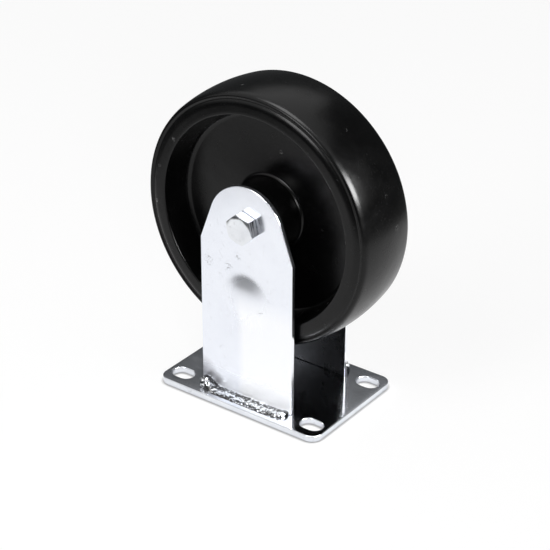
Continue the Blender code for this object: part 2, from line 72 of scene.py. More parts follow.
# Sizes of the solids that their boxes don't give
PLATE_CORNER = 0.0070
SLOT_INSET_X = 0.0102      # from the plate's end to a slot's centre
SLOT_INSET_Y = 0.0113      # from the plate's side to a slot's centre
SLOT_RADIUS = 0.0052       # of a slot's round ends
SLOT_HALF_RUN = 0.0020     # from a slot's centre to the centre of each round end
BORE_RADIUS = 0.0110       # of the wheel's hub
LEG_THICKNESS = 0.0027
LEG_OUT = LEG_IN + LEG_THICKNESS
LEG_TOP_RADIUS = 0.0253
LEG_TOP_DROP = 0.0021      # from the axle down to the centre of the round top
SHOULDER_DROP = 0.0147     # from the axle down to where the taper starts
DIMPLE_DROP = 0.0463       # from the axle down to the dimple's centre
BOLT_RADIUS = 0.0050
HOLE_RADIUS = 0.0053       # the bolt's hole in a leg
HEX_FLAT = 0.0080          # half the hexagon's width across flats
HEX_TURN = math.radians(43.3)
HEAD_HEIGHT = 0.0064
UNDER_HEAD = HEAD_TOP + HEAD_HEIGHT
NUT_HEX_HEIGHT = 0.0068
NUT_HEX_END = NUT_FACE + NUT_HEX_HEIGHT

# Sizes of the finish that only the new pieces have
WHEEL_WAVE = 0.00005       # how uneven the moulding is
DIMPLE_RADIUS = 0.0184
DIMPLE_HEIGHT = 0.00275
DIMPLE_INNER_RADIUS = 0.0170
DIMPLE_INNER_HEIGHT = 0.00254
DIMPLE_RINGS = 25
PLATE_EDGE = 0.00045       # the rounding of the plate's edges
LEG_EDGE = 0.0004          # the rounding of the legs' edges
THREAD_PITCH = 0.0015
THREAD_TURNS = 10
THREAD_DEPTH = 0.00072
JOINT_SHADE_LINE = 0.0004         # how far up the head's flats the painted shade of the joint reaches from the leg
BEAD_LENGTH = 0.0614
BEAD_LATE = 0.0009         # how far in from the leg's edge the bead starts
BEAD_START_RUN = 0.0090    # how far along the bead its tall, narrow start reaches
BEAD_END_RUN = 0.0080      # how far back along it its thicker end reaches
BEAD_TIP = 0.0030          # how far each of its ends takes to round off
BEAD_PITCH = 0.0042        # between two ripples

LAMP_DISTANCE = 1.5        # from each lamp to the middle of the castor

# Marks of use and of the mould, and a painted dark reflection, as (x, y, z, reach) in mm
LEG_SCUFFS = ((-26.2, -28, 85.7, 4.0), (-5.5, -28, 93.5, 3.4), (-11.9, -28, 86.4, 3.6),
              (-8.5, -28, 66.0, 3.6), (10.6, -28, 64.1, 2.4), (-30.3, -28, 14.5, 3.0))
# a painted dark reflection of the bead, on the near leg round the bead's thick start
PAINTED_BEAD_REFLECTION = ((-32.0, -28, 10.0, 12.5), (-27.0, -28, 9.5, 8.5), (-21.0, -28, 7.5, 6.0))
DULL_DIMPLE = ((0, -28, 68, 28),)
WHEEL_SCUFFS = ((-14.6, -11.4, 188.9, 1.3), (46.5, -1.1, 174.4, 1.2), (70.9, 2.1, 141.7, 1.3),
                (75.6, 6.8, 122.2, 2.2), (75.9, -18.4, 118.9, 1.4), (-54.3, -22, 149.8, 1.6),
                (-68.2, -22, 108.2, 1.8), (-65.1, -22, 131.0, 1.3), (6.9, -5, 152.4, 1.4))
WHEEL_DUST = ((67.0, 1.7, 150.1, 20.0), (73.5, 2.0, 135.0, 20.0))

# Nicks in the wheel, as (angle, y, radius, reach, depth) in degrees and mm
WHEEL_NICKS = ((172, -22.3, 68.5, 1.1, 0.30), (176, -22.2, 69.8, 0.8, 0.25), (187, -22.4, 66.2, 0.9, 0.2),
               (151, -22.2, 69.2, 1.0, 0.25), (101, -19.0, 73.6, 1.2, 0.3), (38, -2.0, 76.0, 0.9, 0.25),
               (4, 9.0, 75.5, 1.0, 0.3), (-9, 14.0, 74.9, 1.3, 0.3), (57, 3.0, 76.1, 0.8, 0.2))


# Camera at the photograph's angle
def place_camera():
    azimuth = math.radians(36.48)
    elevation = math.radians(28.23)
    roll = math.radians(0.21)
    middle = Vector((0, 0, 0.0888))
    back = Vector((math.sin(azimuth) * math.cos(elevation), -math.cos(azimuth) * math.cos(elevation),
                   math.sin(elevation)))
    level = (-back).cross(Vector((0, 0, 1))).normalized()
    upright = level.cross(-back)
    right = level * math.cos(roll) + upright * math.sin(roll)
    up = upright * math.cos(roll) - level * math.sin(roll)
    data = bpy.data.cameras.new("camera")
    data.sensor_width = 36.0
    data.lens = 115.47
    data.clip_start = 0.05
    camera = bpy.data.objects.new("camera", data)
    stand = Matrix((right, up, back)).transposed().to_4x4()
    stand.translation = middle - right * 0.00047 - up * 0.01461 + back * 0.9955
    camera.matrix_world = stand
    bpy.context.scene.collection.objects.link(camera)
    bpy.context.scene.camera = camera


# Node helpers
def new_material(name):
    made = bpy.data.materials.new(name)
    made.use_nodes = True
    return made, made.node_tree.nodes, made.node_tree.links


def place_in(nodes):
    """The point that is shaded, in the piece's own coordinates."""
    return nodes.new("ShaderNodeTexCoord").outputs["Object"]


def split_place(nodes, links):
    split = nodes.new("ShaderNodeSeparateXYZ")
    links.new(place_in(nodes), split.inputs["Vector"])
    return split.outputs


def away_from(nodes, links, point):
    """How far the shaded point is from a given one."""
    away = nodes.new("ShaderNodeVectorMath")
    away.operation = "DISTANCE"
    links.new(place_in(nodes), away.inputs[0])
    away.inputs[1].default_value = point
    return away.outputs["Value"]


def ramp(nodes, links, source, low, high, first, last):
    """Map a value from low..high onto two colours or numbers."""
    made = nodes.new("ShaderNodeValToRGB")
    made.color_ramp.elements[0].position = low
    made.color_ramp.elements[1].position = high
    for element, value in zip(made.color_ramp.elements, (first, last)):
        element.color = (*value, 1) if hasattr(value, "__len__") else (value, value, value, 1)
    links.new(source, made.inputs["Fac"])
    return made.outputs["Color"]


def noise_at(nodes, links, scale, detail=3.0, rough=0.5, stretch=None, distortion=0.0):
    place = place_in(nodes)
    if stretch:
        mapping = nodes.new("ShaderNodeMapping")
        mapping.inputs["Scale"].default_value = stretch
        links.new(place, mapping.inputs["Vector"])
        place = mapping.outputs["Vector"]
    made = nodes.new("ShaderNodeTexNoise")
    made.inputs["Scale"].default_value = scale
    made.inputs["Detail"].default_value = detail
    made.inputs["Roughness"].default_value = rough
    made.inputs["Distortion"].default_value = distortion
    links.new(place, made.inputs["Vector"])
    return made.outputs["Fac"]


def maths(nodes, links, operation, first, second):
    made = nodes.new("ShaderNodeMath")
    made.operation = operation
    for socket, value in zip(made.inputs, (first, second)):
        if isinstance(value, (int, float)):
            socket.default_value = value
        else:
            links.new(value, socket)
    return made.outputs["Value"]


def mix_colour(nodes, links, factor, first, second):
    made = nodes.new("ShaderNodeMix")
    made.data_type = "RGBA"
    links.new(factor, made.inputs["Factor"])
    for name, value in (("A", first), ("B", second)):
        socket = [s for s in made.inputs if s.name == name and s.type == "RGBA"][0]
        if hasattr(value, "__len__"):
            socket.default_value = (*value, 1)
        else:
            links.new(value, socket)
    return [s for s in made.outputs if s.type == "RGBA"][0]


def bump(nodes, links, height, strength, distance, before=None):
    made = nodes.new("ShaderNodeBump")
    made.inputs["Strength"].default_value = strength
    made.inputs["Distance"].default_value = distance
    links.new(height, made.inputs["Height"])
    if before is not None:
        links.new(before, made.inputs["Normal"])
    return made.outputs["Normal"]


def zinc(name, bright, dull, rough_low, rough_high, wave, scratch, stretch):
    """Bright zinc plating: clouded sheet that is not quite flat, faintly scratched across the stretch."""
    made, nodes, links = new_material(name)
    inputs = nodes["Principled BSDF"].inputs
    inputs["Metallic"].default_value = 1.0
    cloud = noise_at(nodes, links, 42, 4, 0.6)
    stain = noise_at(nodes, links, 210, 5, 0.65, distortion=0.6)
    spots = ramp(nodes, links, stain, 0.60, 0.74, 0.0, 0.55)
    tint = ramp(nodes, links, cloud, 0.35, 0.68, bright, dull)
    stained = [0.72 * part for part in dull]
    links.new(mix_colour(nodes, links, spots, tint, stained), inputs["Base Color"])
    lines = ramp(nodes, links, noise_at(nodes, links, 1.0, 3, 0.6, stretch), 0.60, 0.75, 0.0, 1.0)
    rough = ramp(nodes, links, cloud, 0.3, 0.7, rough_low, rough_high)
    rough = maths(nodes, links, "ADD", rough, maths(nodes, links, "MULTIPLY", lines, 0.10))
    links.new(rough, inputs["Roughness"])
    waves = bump(nodes, links, noise_at(nodes, links, 26, 1.5, 0.4), wave, 0.0006)
    grain = bump(nodes, links, noise_at(nodes, links, 2400, 2, 0.5), 0.05, 0.00005, waves)
    links.new(bump(nodes, links, lines, scratch, 0.00004, grain), inputs["Normal"])
    return made


def marks_near(nodes, links, places):
    """1 at the given points, falling to 0 at their reach; each is (x, y, z, reach) in mm."""
    total = None
    for x, y, z, reach in places:
        away = away_from(nodes, links, (x * MM, y * MM, z * MM))
        near = maths(nodes, links, "SUBTRACT", 1.0, maths(nodes, links, "DIVIDE", away, reach * MM))
        near = maths(nodes, links, "MAXIMUM", near, 0.0)
        total = near if total is None else maths(nodes, links, "MAXIMUM", total, near)
    return total


def wear_leg_and_paint_light(made):
    """Age the legs' plating and paint light on them: a painted bright reflection low on the half towards +X,
    and a painted dark reflection of the bead round the near bead's start. The scuffs, the painted dark
    reflection and the dull dimple lie on the near leg only.
    """
    nodes, links = made.node_tree.nodes, made.node_tree.links
    inputs = nodes["Principled BSDF"].inputs
    colour = inputs["Base Color"].links[0].from_socket
    place = split_place(nodes, links)
    height = maths(nodes, links, "MULTIPLY", place["Z"], 10.0)
    # whiter from the dimple down, on the half towards +X: a painted bright reflection
    across = maths(nodes, links, "ADD", maths(nodes, links, "MULTIPLY", place["X"], 20.0), 0.5)
    across = ramp(nodes, links, across, 0.37, 0.47, 0.0, 1.0)
    down = ramp(nodes, links, height, 0.60, 0.72, 1.0, 0.15)
    white = maths(nodes, links, "MULTIPLY", across, down)
    colour = mix_colour(nodes, links, white, colour, (0.965, 0.975, 1.0))
    breaks = noise_at(nodes, links, 1.0, 4, 0.75, (520, 520, 1100), 0.6)
    breaks = ramp(nodes, links, breaks, 0.54, 0.62, 0.0, 1.0)
    spots = ramp(nodes, links, marks_near(nodes, links, LEG_SCUFFS), 0.0, 0.5, 0.0, 0.6)
    spots = maths(nodes, links, "MULTIPLY", spots, breaks)
    colour = mix_colour(nodes, links, spots, colour, (0.22, 0.22, 0.24))
    # a painted dark reflection of the bead, on the plating round the bead's thick start
    painted_dark_reflection = ramp(nodes, links, marks_near(nodes, links, PAINTED_BEAD_REFLECTION), 0.0, 0.9, 0.0, 0.85)
    colour = mix_colour(nodes, links, painted_dark_reflection, colour, (0.20, 0.20, 0.22))
    links.new(colour, inputs["Base Color"])
    # duller next to the weld, on the outer face only, and on the pressed dimple
    out = maths(nodes, links, "MULTIPLY", maths(nodes, links, "ABSOLUTE", place["Y"], 0.0), 30.0)
    foot = ramp(nodes, links, height, 0.08, 0.20, 0.24, 0.0)
    foot = maths(nodes, links, "MULTIPLY", foot, ramp(nodes, links, out, 0.827, 0.838, 0.0, 1.0))
    pressed = maths(nodes, links, "MULTIPLY", marks_near(nodes, links, DULL_DIMPLE), 0.12)
    dull = maths(nodes, links, "ADD", foot, pressed)
    rough = inputs["Roughness"].links[0].from_socket
    links.new(maths(nodes, links, "ADD", rough, dull), inputs["Roughness"])
    lacking = maths(nodes, links, "MULTIPLY", foot, 1.6)
    links.new(maths(nodes, links, "SUBTRACT", 1.0, lacking), inputs["Metallic"])


def scuff_wheel(made):
    """Add small pale scuffs on the tread and side ring, and specks of dust on one stretch of the tread."""
    nodes, links = made.node_tree.nodes, made.node_tree.links
    base = nodes["Principled BSDF"].inputs["Base Color"]
    colour = base.links[0].from_socket
    breaks = noise_at(nodes, links, 1100, 3, 0.7, distortion=0.8)
    breaks = ramp(nodes, links, breaks, 0.50, 0.58, 0.0, 1.0)
    spots = ramp(nodes, links, marks_near(nodes, links, WHEEL_SCUFFS), 0.0, 0.5, 0.0, 0.9)
    spots = maths(nodes, links, "MULTIPLY", spots, breaks)
    specks = ramp(nodes, links, noise_at(nodes, links, 1000, 4, 0.75), 0.58, 0.68, 0.0, 1.0)
    dust = ramp(nodes, links, marks_near(nodes, links, WHEEL_DUST), 0.0, 0.6, 0.04, 0.26)
    dust = maths(nodes, links, "MULTIPLY", dust, specks)
    colour = mix_colour(nodes, links, dust, colour, (0.10, 0.10, 0.10))
    links.new(mix_colour(nodes, links, spots, colour, (0.13, 0.13, 0.13)), base)


def plastic(name, colour, scuff, rough_low, rough_high, level):
    """Moulded black plastic with a fine speckle, a few scuffs and a satin gloss."""
    made, nodes, links = new_material(name)
    inputs = nodes["Principled BSDF"].inputs
    inputs["Specular IOR Level"].default_value = level
    fine = noise_at(nodes, links, 900, 3, 0.6)
    blotch = noise_at(nodes, links, 75, 4, 0.6, distortion=0.5)
    rub = noise_at(nodes, links, 330, 5, 0.7)
    marks = ramp(nodes, links, rub, 0.66, 0.76, 0.0, 0.8)
    links.new(mix_colour(nodes, links, marks, colour, scuff), inputs["Base Color"])
    rough = ramp(nodes, links, blotch, 0.32, 0.68, rough_low, rough_high)
    rough = maths(nodes, links, "ADD", rough, maths(nodes, links, "MULTIPLY", marks, 0.12))
    links.new(rough, inputs["Roughness"])
    soft = bump(nodes, links, noise_at(nodes, links, 160, 2, 0.5), 0.10, 0.0004)
    links.new(bump(nodes, links, fine, 0.16, 0.00012, soft), inputs["Normal"])
    return made


def streaked_shaded_zinc(name):
    """Dark grey zinc with the streaks across the axle's line that the real flats have; its darkness is
    painted shade for the flats turned from the light.
    """
    made, nodes, links = new_material(name)
    inputs = nodes["Principled BSDF"].inputs
    inputs["Metallic"].default_value = 1.0
    streaks = noise_at(nodes, links, 1.0, 3, 0.6, (60, 620, 60))
    colour = ramp(nodes, links, streaks, 0.40, 0.66, (0.10, 0.10, 0.11), (0.42, 0.43, 0.45))
    links.new(colour, inputs["Base Color"])
    links.new(ramp(nodes, links, streaks, 0.35, 0.65, 0.20, 0.34), inputs["Roughness"])
    fine = bump(nodes, links, noise_at(nodes, links, 1.0, 2, 0.5, (120, 2600, 120)), 0.2, 0.00005)
    links.new(bump(nodes, links, streaks, 0.3, 0.0001, fine), inputs["Normal"])
    return made


def weld_look(name):
    """Weld metal under the plating: smooth bright ripples broken by dark scale, and painted shade in two
    rows along the bead.
    """
    made, nodes, links = new_material(name)
    inputs = nodes["Principled BSDF"].inputs
    inputs["Metallic"].default_value = 1.0
    scale = noise_at(nodes, links, 480, 4, 0.65, distortion=1.2)
    place = split_place(nodes, links)
    # painted shade darkens the bead in two rows along it: in its crease next to the leg and along the toe
    out = maths(nodes, links, "ABSOLUTE", place["Y"], 0.0)
    out = maths(nodes, links, "MULTIPLY", maths(nodes, links, "SUBTRACT", out, LEG_OUT), 100.0)
    rows = nodes.new("ShaderNodeValToRGB")
    stops = ((0.0, 0.50), (0.10, 0.64), (0.30, 0.62), (0.42, 0.53), (0.60, 0.54), (0.70, 0.63), (1.0, 0.65))
    while len(rows.color_ramp.elements) < len(stops):
        rows.color_ramp.elements.new(0.5)
    for element, (at, value) in zip(rows.color_ramp.elements, stops):
        element.position = at
        element.color = (value, value, value, 1)
    links.new(out, rows.inputs["Fac"])
    # and the bead is darker where X is lowest, at the near bead's start
    along = maths(nodes, links, "ADD", maths(nodes, links, "MULTIPLY", place["X"], 10.0), 0.5)
    fill = maths(nodes, links, "ADD", scale, ramp(nodes, links, along, 0.20, 0.34, 0.07, 0.0))
    fill = maths(nodes, links, "ADD", fill, rows.outputs["Color"])
    dark = ramp(nodes, links, maths(nodes, links, "SUBTRACT", fill, 0.5), 0.54, 0.60, 0.0, 1.0)
    colour = mix_colour(nodes, links, dark, (0.90, 0.92, 0.95), (0.07, 0.07, 0.07))
    links.new(colour, inputs["Base Color"])
    links.new(ramp(nodes, links, scale, 0.45, 0.7, 0.10, 0.30), inputs["Roughness"])
    lumps = bump(nodes, links, noise_at(nodes, links, 420, 2, 0.5), 0.35, 0.0005)
    grain = bump(nodes, links, noise_at(nodes, links, 1500, 2, 0.5), 0.12, 0.0001, lumps)
    links.new(grain, inputs["Normal"])
    return made


def turned_steel(name, colour, rough):
    """Turned or ground steel: fine rings round the axle line and a soft clouding."""
    made, nodes, links = new_material(name)
    inputs = nodes["Principled BSDF"].inputs
    inputs["Metallic"].default_value = 1.0
    cloud = noise_at(nodes, links, 120, 4, 0.6)
    dark = [0.8 * part for part in colour]
    links.new(ramp(nodes, links, cloud, 0.3, 0.7, colour, dark), inputs["Base Color"])
    lines = noise_at(nodes, links, 1.0, 2, 0.5, (30, 4200, 30))
    links.new(ramp(nodes, links, lines, 0.3, 0.7, rough, rough + 0.12), inputs["Roughness"])
    links.new(bump(nodes, links, lines, 0.12, 0.00003), inputs["Normal"])
    return made


def nylon(name, colour):
    """Moulded nylon with a fine grain and slightly uneven colour."""
    made, nodes, links = new_material(name)
    inputs = nodes["Principled BSDF"].inputs
    cloud = noise_at(nodes, links, 180, 4, 0.6)
    dark = [0.82 * part for part in colour]
    links.new(ramp(nodes, links, cloud, 0.3, 0.7, colour, dark), inputs["Base Color"])
    links.new(ramp(nodes, links, cloud, 0.3, 0.7, 0.38, 0.52), inputs["Roughness"])
    grain = bump(nodes, links, noise_at(nodes, links, 1500, 3, 0.6), 0.15, 0.00006)
    links.new(grain, inputs["Normal"])
    return made


# Mesh helpers
def link_mesh(name, bm, look):
    mesh = bpy.data.meshes.new(name)
    bm.to_mesh(mesh)
    bm.free()
    mesh.materials.append(look)
    item = bpy.data.objects.new(name, mesh)
    bpy.context.scene.collection.objects.link(item)
    return item


def finish_piece(name, bm, look, body, replaced, weighted=True, sharp=40):
    """Make a shaded piece of a mesh, on its body and in the place of its plain solid."""
    bmesh.ops.recalc_face_normals(bm, faces=bm.faces)
    item = link_mesh(name, bm, look)
    item.data.shade_smooth()
    item.data.set_sharp_from_angle(angle=math.radians(sharp))
    if weighted:
        change = item.modifiers.new("weighted", "WEIGHTED_NORMAL")
        change.keep_sharp = True
        change.weight = 80
    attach(item, body)
    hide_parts(replaced)
    return item


def arc(centre, radius, start, end, steps):
    """Points on an arc, given in degrees, with both ends."""
    points = []
    for step in range(steps + 1):
        angle = math.radians(start + (end - start) * step / steps)
        points.append((centre[0] + radius * math.cos(angle), centre[1] + radius * math.sin(angle)))
    return points


def bridge(bm, lower, upper):
    """Join two closed rings of the same length with four-sided faces."""
    for i in range(len(lower)):
        j = (i + 1) % len(lower)
        bm.faces.new((lower[i], lower[j], upper[j], upper[i]))


def fill_between(bm, rings):
    """Close the flat face between an outer ring and the rings of its holes."""
    edges = []
    for ring in rings:
        for i in range(len(ring)):
            pair = (ring[i - 1], ring[i])
            edges.append(bm.edges.get(pair) or bm.edges.new(pair))
    bmesh.ops.triangle_fill(bm, use_beauty=True, use_dissolve=False, edges=edges)


def rounded(corners, steps):
    """Round the corners of a closed outline of (u, v, radius)."""
    points = []
    count = len(corners)
    for index, (u, v, radius) in enumerate(corners):
        here = Vector((u, v))
        if radius <= 0:
            points.append(here)
            continue
        back = (Vector(corners[index - 1][:2]) - here).normalized()
        ahead = (Vector(corners[(index + 1) % count][:2]) - here).normalized()
        half = back.angle(ahead) / 2
        centre = here + (back + ahead).normalized() * (radius / math.sin(half))
        start = here + back * (radius / math.tan(half)) - centre
        end = here + ahead * (radius / math.tan(half)) - centre
        turn = start.angle_signed(end)
        for step in range(steps + 1):
            points.append(centre + Matrix.Rotation(-turn * step / steps, 2) @ start)
    return [(p[0], p[1]) for p in points]


def inset(outline, amount):
    """Move a closed outline inwards (or a hole outwards, with a negative amount) by mitred corners."""
    count = len(outline)
    area = sum(outline[i - 1][0] * outline[i][1] - outline[i][0] * outline[i - 1][1] for i in range(count))
    sign = 1 if area > 0 else -1
    points = []
    for index in range(count):
        here = Vector(outline[index])
        first = (here - Vector(outline[index - 1])).normalized()
        second = (Vector(outline[(index + 1) % count]) - here).normalized()
        one = Vector((-first.y, first.x)) * sign
        two = Vector((-second.y, second.x)) * sign
        mid = (one + two).normalized()
        points.append(tuple(here + mid * (amount / max(mid.dot(one), 0.5))))
    return points


def slab(bm, outline, holes, low, high, edge, place, caps=((), ())):
    """A sheet with rounded edges between the levels low and high.

    place maps (u, v, w) to space. caps holds the outlines left open in the low and in the high face.
    The rings round each face come back as two lists, with the caps last.
    """
    steps = 4
    sides = ([], [])
    for loop, sign in [(outline, 1)] + [(hole, -1) for hole in holes]:
        rings = []
        for side, level in enumerate((low, high)):
            turn = range(steps + 1) if side == 0 else range(steps, -1, -1)
            for step in turn:
                angle = math.pi / 2 * step / steps
                shift = edge * (1 - math.sin(angle))
                lift = edge * (1 - math.cos(angle))
                w = level + lift if side == 0 else level - lift
                rings.append([bm.verts.new(place(u, v, w)) for u, v in inset(loop, sign * shift)])
        for lower, upper in zip(rings, rings[1:]):
            bridge(bm, lower, upper)
        sides[0].append(rings[0])
        sides[1].append(rings[-1])
    for side, level in enumerate((low, high)):
        for extra in caps[side]:
            sides[side].append([bm.verts.new(place(u, v, level)) for u, v in extra])
        fill_between(bm, sides[side])
    return sides


def lathe(bm, outline, segments, closed=True):
    """Turn (y, radius) points about the axle."""
    rings = []
    for y, radius in outline:
        turned = arc((0, AXLE), radius, 0, 360, segments)[:-1]
        rings.append([bm.verts.new((x, y, z)) for x, z in turned])
    pairs = list(zip(rings, rings[1:]))
    if closed:
        pairs.append((rings[-1], rings[0]))
    for lower, upper in pairs:
        bridge(bm, lower, upper)
    return rings


# Wheel
def wheel_half():
    """The wheel's section from the middle of the tread round to the bore, as (y, radius) in mm."""
    radius = WHEEL_RADIUS / MM
    hub_end = HUB_END / MM
    bore = BORE_RADIUS / MM
    tread_edge = 17.0
    fall = 1.3
    crown = (tread_edge ** 2 + fall ** 2) / (2 * fall)
    points = arc((0, radius - crown), crown, 90, 80.2, 14)
    # the round shoulder, the moulded crease, then the side ring's curved outer part and its flat
    points += arc((18.43, 70.73), 3.85, 77, 46, 10)
    points += arc((19.71, 72.06), 2.0, 42, 10, 9)
    points += [(21.66, 72.18), (21.55, 71.98), (21.42, 71.76), (21.32, 71.5), (21.25, 71.22)]
    points += arc((15.6, 66.9), 6.8, 35, 0, 14)
    points += [(22.4, 65.8), (22.4, 64.4)]
    points += arc((21.5, 62.9), 0.9, 0, -90, 5)
    # the hollow's drafted wall, the web and the hub with their fillets
    wall = rounded([(21.5, 62.0, 0), (5.0, 58.8, 3.4), (5.0, 21.5, 2.5), (hub_end, 19.9, 0.8),
                    (hub_end, bore, 0.5), (0, bore, 0), (0, 40, 0)], 6)
    # the last two corners only steer the rounding, and the arc before has the first
    points += wall[1:-2]
    return points


def build_wheel(look):
    bm = bmesh.new()
    half = [(y * MM, r * MM) for y, r in wheel_half()]
    outline = half + [(-y, r) for y, r in reversed(half[1:])]
    rings = lathe(bm, outline, 256)
    nicks = []
    for angle, y, radius, reach, depth in WHEEL_NICKS:
        turn = math.radians(angle)
        centre = Vector((radius * MM * math.cos(turn), y * MM, AXLE + radius * MM * math.sin(turn)))
        nicks.append((centre, reach * MM, depth * MM))
    # outside the hollow, the moulding is slightly uneven and nicked
    for ring in rings:
        for vert in ring:
            arm = Vector((vert.co.x, 0, vert.co.z - AXLE))
            if arm.length < 0.06:
                continue
            sway = noise.noise(vert.co * 55) * WHEEL_WAVE
            for centre, reach, depth in nicks:
                away = (vert.co - centre).length
                if away < reach * 2:
                    sway -= depth * math.exp(-(away / reach * 1.6) ** 2)
            side = Vector((0, -1 if vert.co.y < 0 else 1, 0))
            vert.co += (arm.normalized() + side * 0.6).normalized() * sway
    finish_piece("wheel_moulding", bm, look, "wheel", "wheel", weighted=False, sharp=48)


# Plate
def build_plate(look):
    corners = [(sx * PLATE_HALF_LENGTH, sy * PLATE_HALF_WIDTH, PLATE_CORNER)
               for sx, sy in ((1, 1), (-1, 1), (-1, -1), (1, -1))]
    slots = []
    for sx in (-1, 1):
        for sy in (-1, 1):
            x = sx * (PLATE_HALF_LENGTH - SLOT_INSET_X)
            y = sy * (PLATE_HALF_WIDTH - SLOT_INSET_Y)
            right = arc((x + SLOT_HALF_RUN, y), SLOT_RADIUS, -90, 90, 14)
            left = arc((x - SLOT_HALF_RUN, y), SLOT_RADIUS, 90, 270, 14)
            slots.append(right + left)
    bm = bmesh.new()
    slab(bm, rounded(corners, 12), slots, 0.0, PLATE_TOP, PLATE_EDGE, lambda u, v, w: (u, v, w))
    finish_piece("mounting_plate_sheet", bm, look, "fork", "mounting_plate")


# Legs
def dimple_rise(share):
    """Height of the dimple, 0 to 1, at a share of its radius.

    Its slope grows over the outer quarter, holds, and falls to nothing at the middle.
    """
    def slope(at):
        return min(at / 0.54, 1.0) * min((1 - at) / 0.24, 1.0)

    steps = 60
    whole = sum(slope((k + 0.5) / steps) for k in range(steps))
    above = sum(slope(share + (1 - share) * (k + 0.5) / steps) for k in range(steps)) * (1 - share)
    return above / whole


def leg_outline():
    """A leg's outline round the axle, as (u, v), with slightly rounded shoulders."""
    shoulder = -SHOULDER_DROP
    rise = LEG_TOP_DROP - SHOULDER_DROP
    lean = math.acos(LEG_TOP_RADIUS / Vector((LEG_HALF, rise)).length)
    first = math.degrees(math.atan2(rise, LEG_HALF) + lean)
    right = [(LEG_HALF, LEG_FOOT - AXLE), (LEG_HALF, shoulder - 0.9 * MM),
             (LEG_HALF - 0.06 * MM, shoulder - 0.4 * MM), (LEG_HALF - 0.32 * MM, shoulder + 0.25 * MM)]
    left = [(-u, v) for u, v in reversed(right)]
    top = arc((0, -LEG_TOP_DROP), LEG_TOP_RADIUS, first, 180 - first, 56)
    return left[-1:] + right + top + left[:-1]


def build_leg(name, side, look, painted_shade_look, replaced):
    turn = Matrix.Rotation(0 if side < 0 else math.pi, 4, "Z")

    def place(u, v, w):
        return turn @ Vector((u, -w, AXLE + v))

    def dimple_ring(radius):
        return arc((0, -DIMPLE_DROP), radius, 0, 360, 72)[:-1]

    hole = arc((0, 0), HOLE_RADIUS, 0, 352.5, 47)
    caps = ((dimple_ring(DIMPLE_INNER_RADIUS),), (dimple_ring(DIMPLE_RADIUS),))
    bm = bmesh.new()
    sides = slab(bm, leg_outline(), [hole], LEG_IN, LEG_OUT, LEG_EDGE, place, caps)
    # the pressed dimple is proud on the outer face and hollow on the inner one
    for below, level, radius, height in ((sides[1][-1], LEG_OUT, DIMPLE_RADIUS, DIMPLE_HEIGHT),
                                         (sides[0][-1], LEG_IN, DIMPLE_INNER_RADIUS, DIMPLE_INNER_HEIGHT)):
        for step in range(1, DIMPLE_RINGS):
            share = 1 - step / DIMPLE_RINGS
            w = level + height * dimple_rise(share)
            above = [bm.verts.new(place(u, v, w)) for u, v in dimple_ring(radius * share)]
            bridge(bm, below, above)
            below = above
        bm.faces.new(below)
    leg = finish_piece(name, bm, look, "fork", replaced, sharp=50)
    # the inner face and the foot's inner edge take the near-black zinc: painted shade for the dark between
    # the legs
    leg.data.materials.append(painted_shade_look)
    for face in leg.data.polygons:
        inward = -face.normal.y * side
        if inward > 0.7 or (inward > -0.1 and face.center.z < PLATE_TOP + 1.0 * MM):
            face.material_index = 1


# Bolt and nut
def hex_ring(steps):
    """The hexagon's outline with slightly rounded corners and each flat cut in steps, as (x, z)."""
    corner = HEX_FLAT / math.cos(math.pi / 6)
    turns = [HEX_TURN + k * math.pi / 3 for k in range(6)]
    points = rounded([(corner * math.cos(turn), corner * math.sin(turn), 0.35 * MM) for turn in turns], 3)
    full = []
    for index, here in enumerate(points):
        after = points[(index + 1) % len(points)]
        long_side = (Vector(after) - Vector(here)).length > 2 * MM
        for step in range(steps if long_side else 1):
            t = step / steps
            full.append((here[0] + (after[0] - here[0]) * t, here[1] + (after[1] - here[1]) * t))
    return full


def hex_body(bm, low, high, high_chamfer):
    """A hexagonal head or nut between two levels along Y, open at both ends; its end rings come back.

    Its low end has a turned chamfer. Its high end has one too, or else a small edge and a ring just before.
    """
    flat = HEX_FLAT * 0.95
    slope = math.tan(math.radians(28))
    small = 0.12 * MM
    full = hex_ring(14)
    order = []
    for level, sign, chamfer in ((low, 1, True), (high, -1, high_chamfer)):
        edge = []
        face = []
        for x, z in full:
            r = math.hypot(x, z)
            fall = max(r - flat, 0) * slope if chamfer else small
            edge.append(bm.verts.new((x, level + sign * fall, AXLE + z)))
            share = flat / r if chamfer else 1 - small / r
            face.append(bm.verts.new((x * share, level, AXLE + z * share)))
        order += [face, edge] if sign > 0 else [edge, face]
    # the extra ring bounds the painted shade of the joint on the head's flats
    if not high_chamfer:
        order.insert(2, [bm.verts.new((v.co.x, high - JOINT_SHADE_LINE, v.co.z)) for v in order[2]])
    for lower, upper in zip(order, order[1:]):
        bridge(bm, lower, upper)
    return order[0], order[-1]


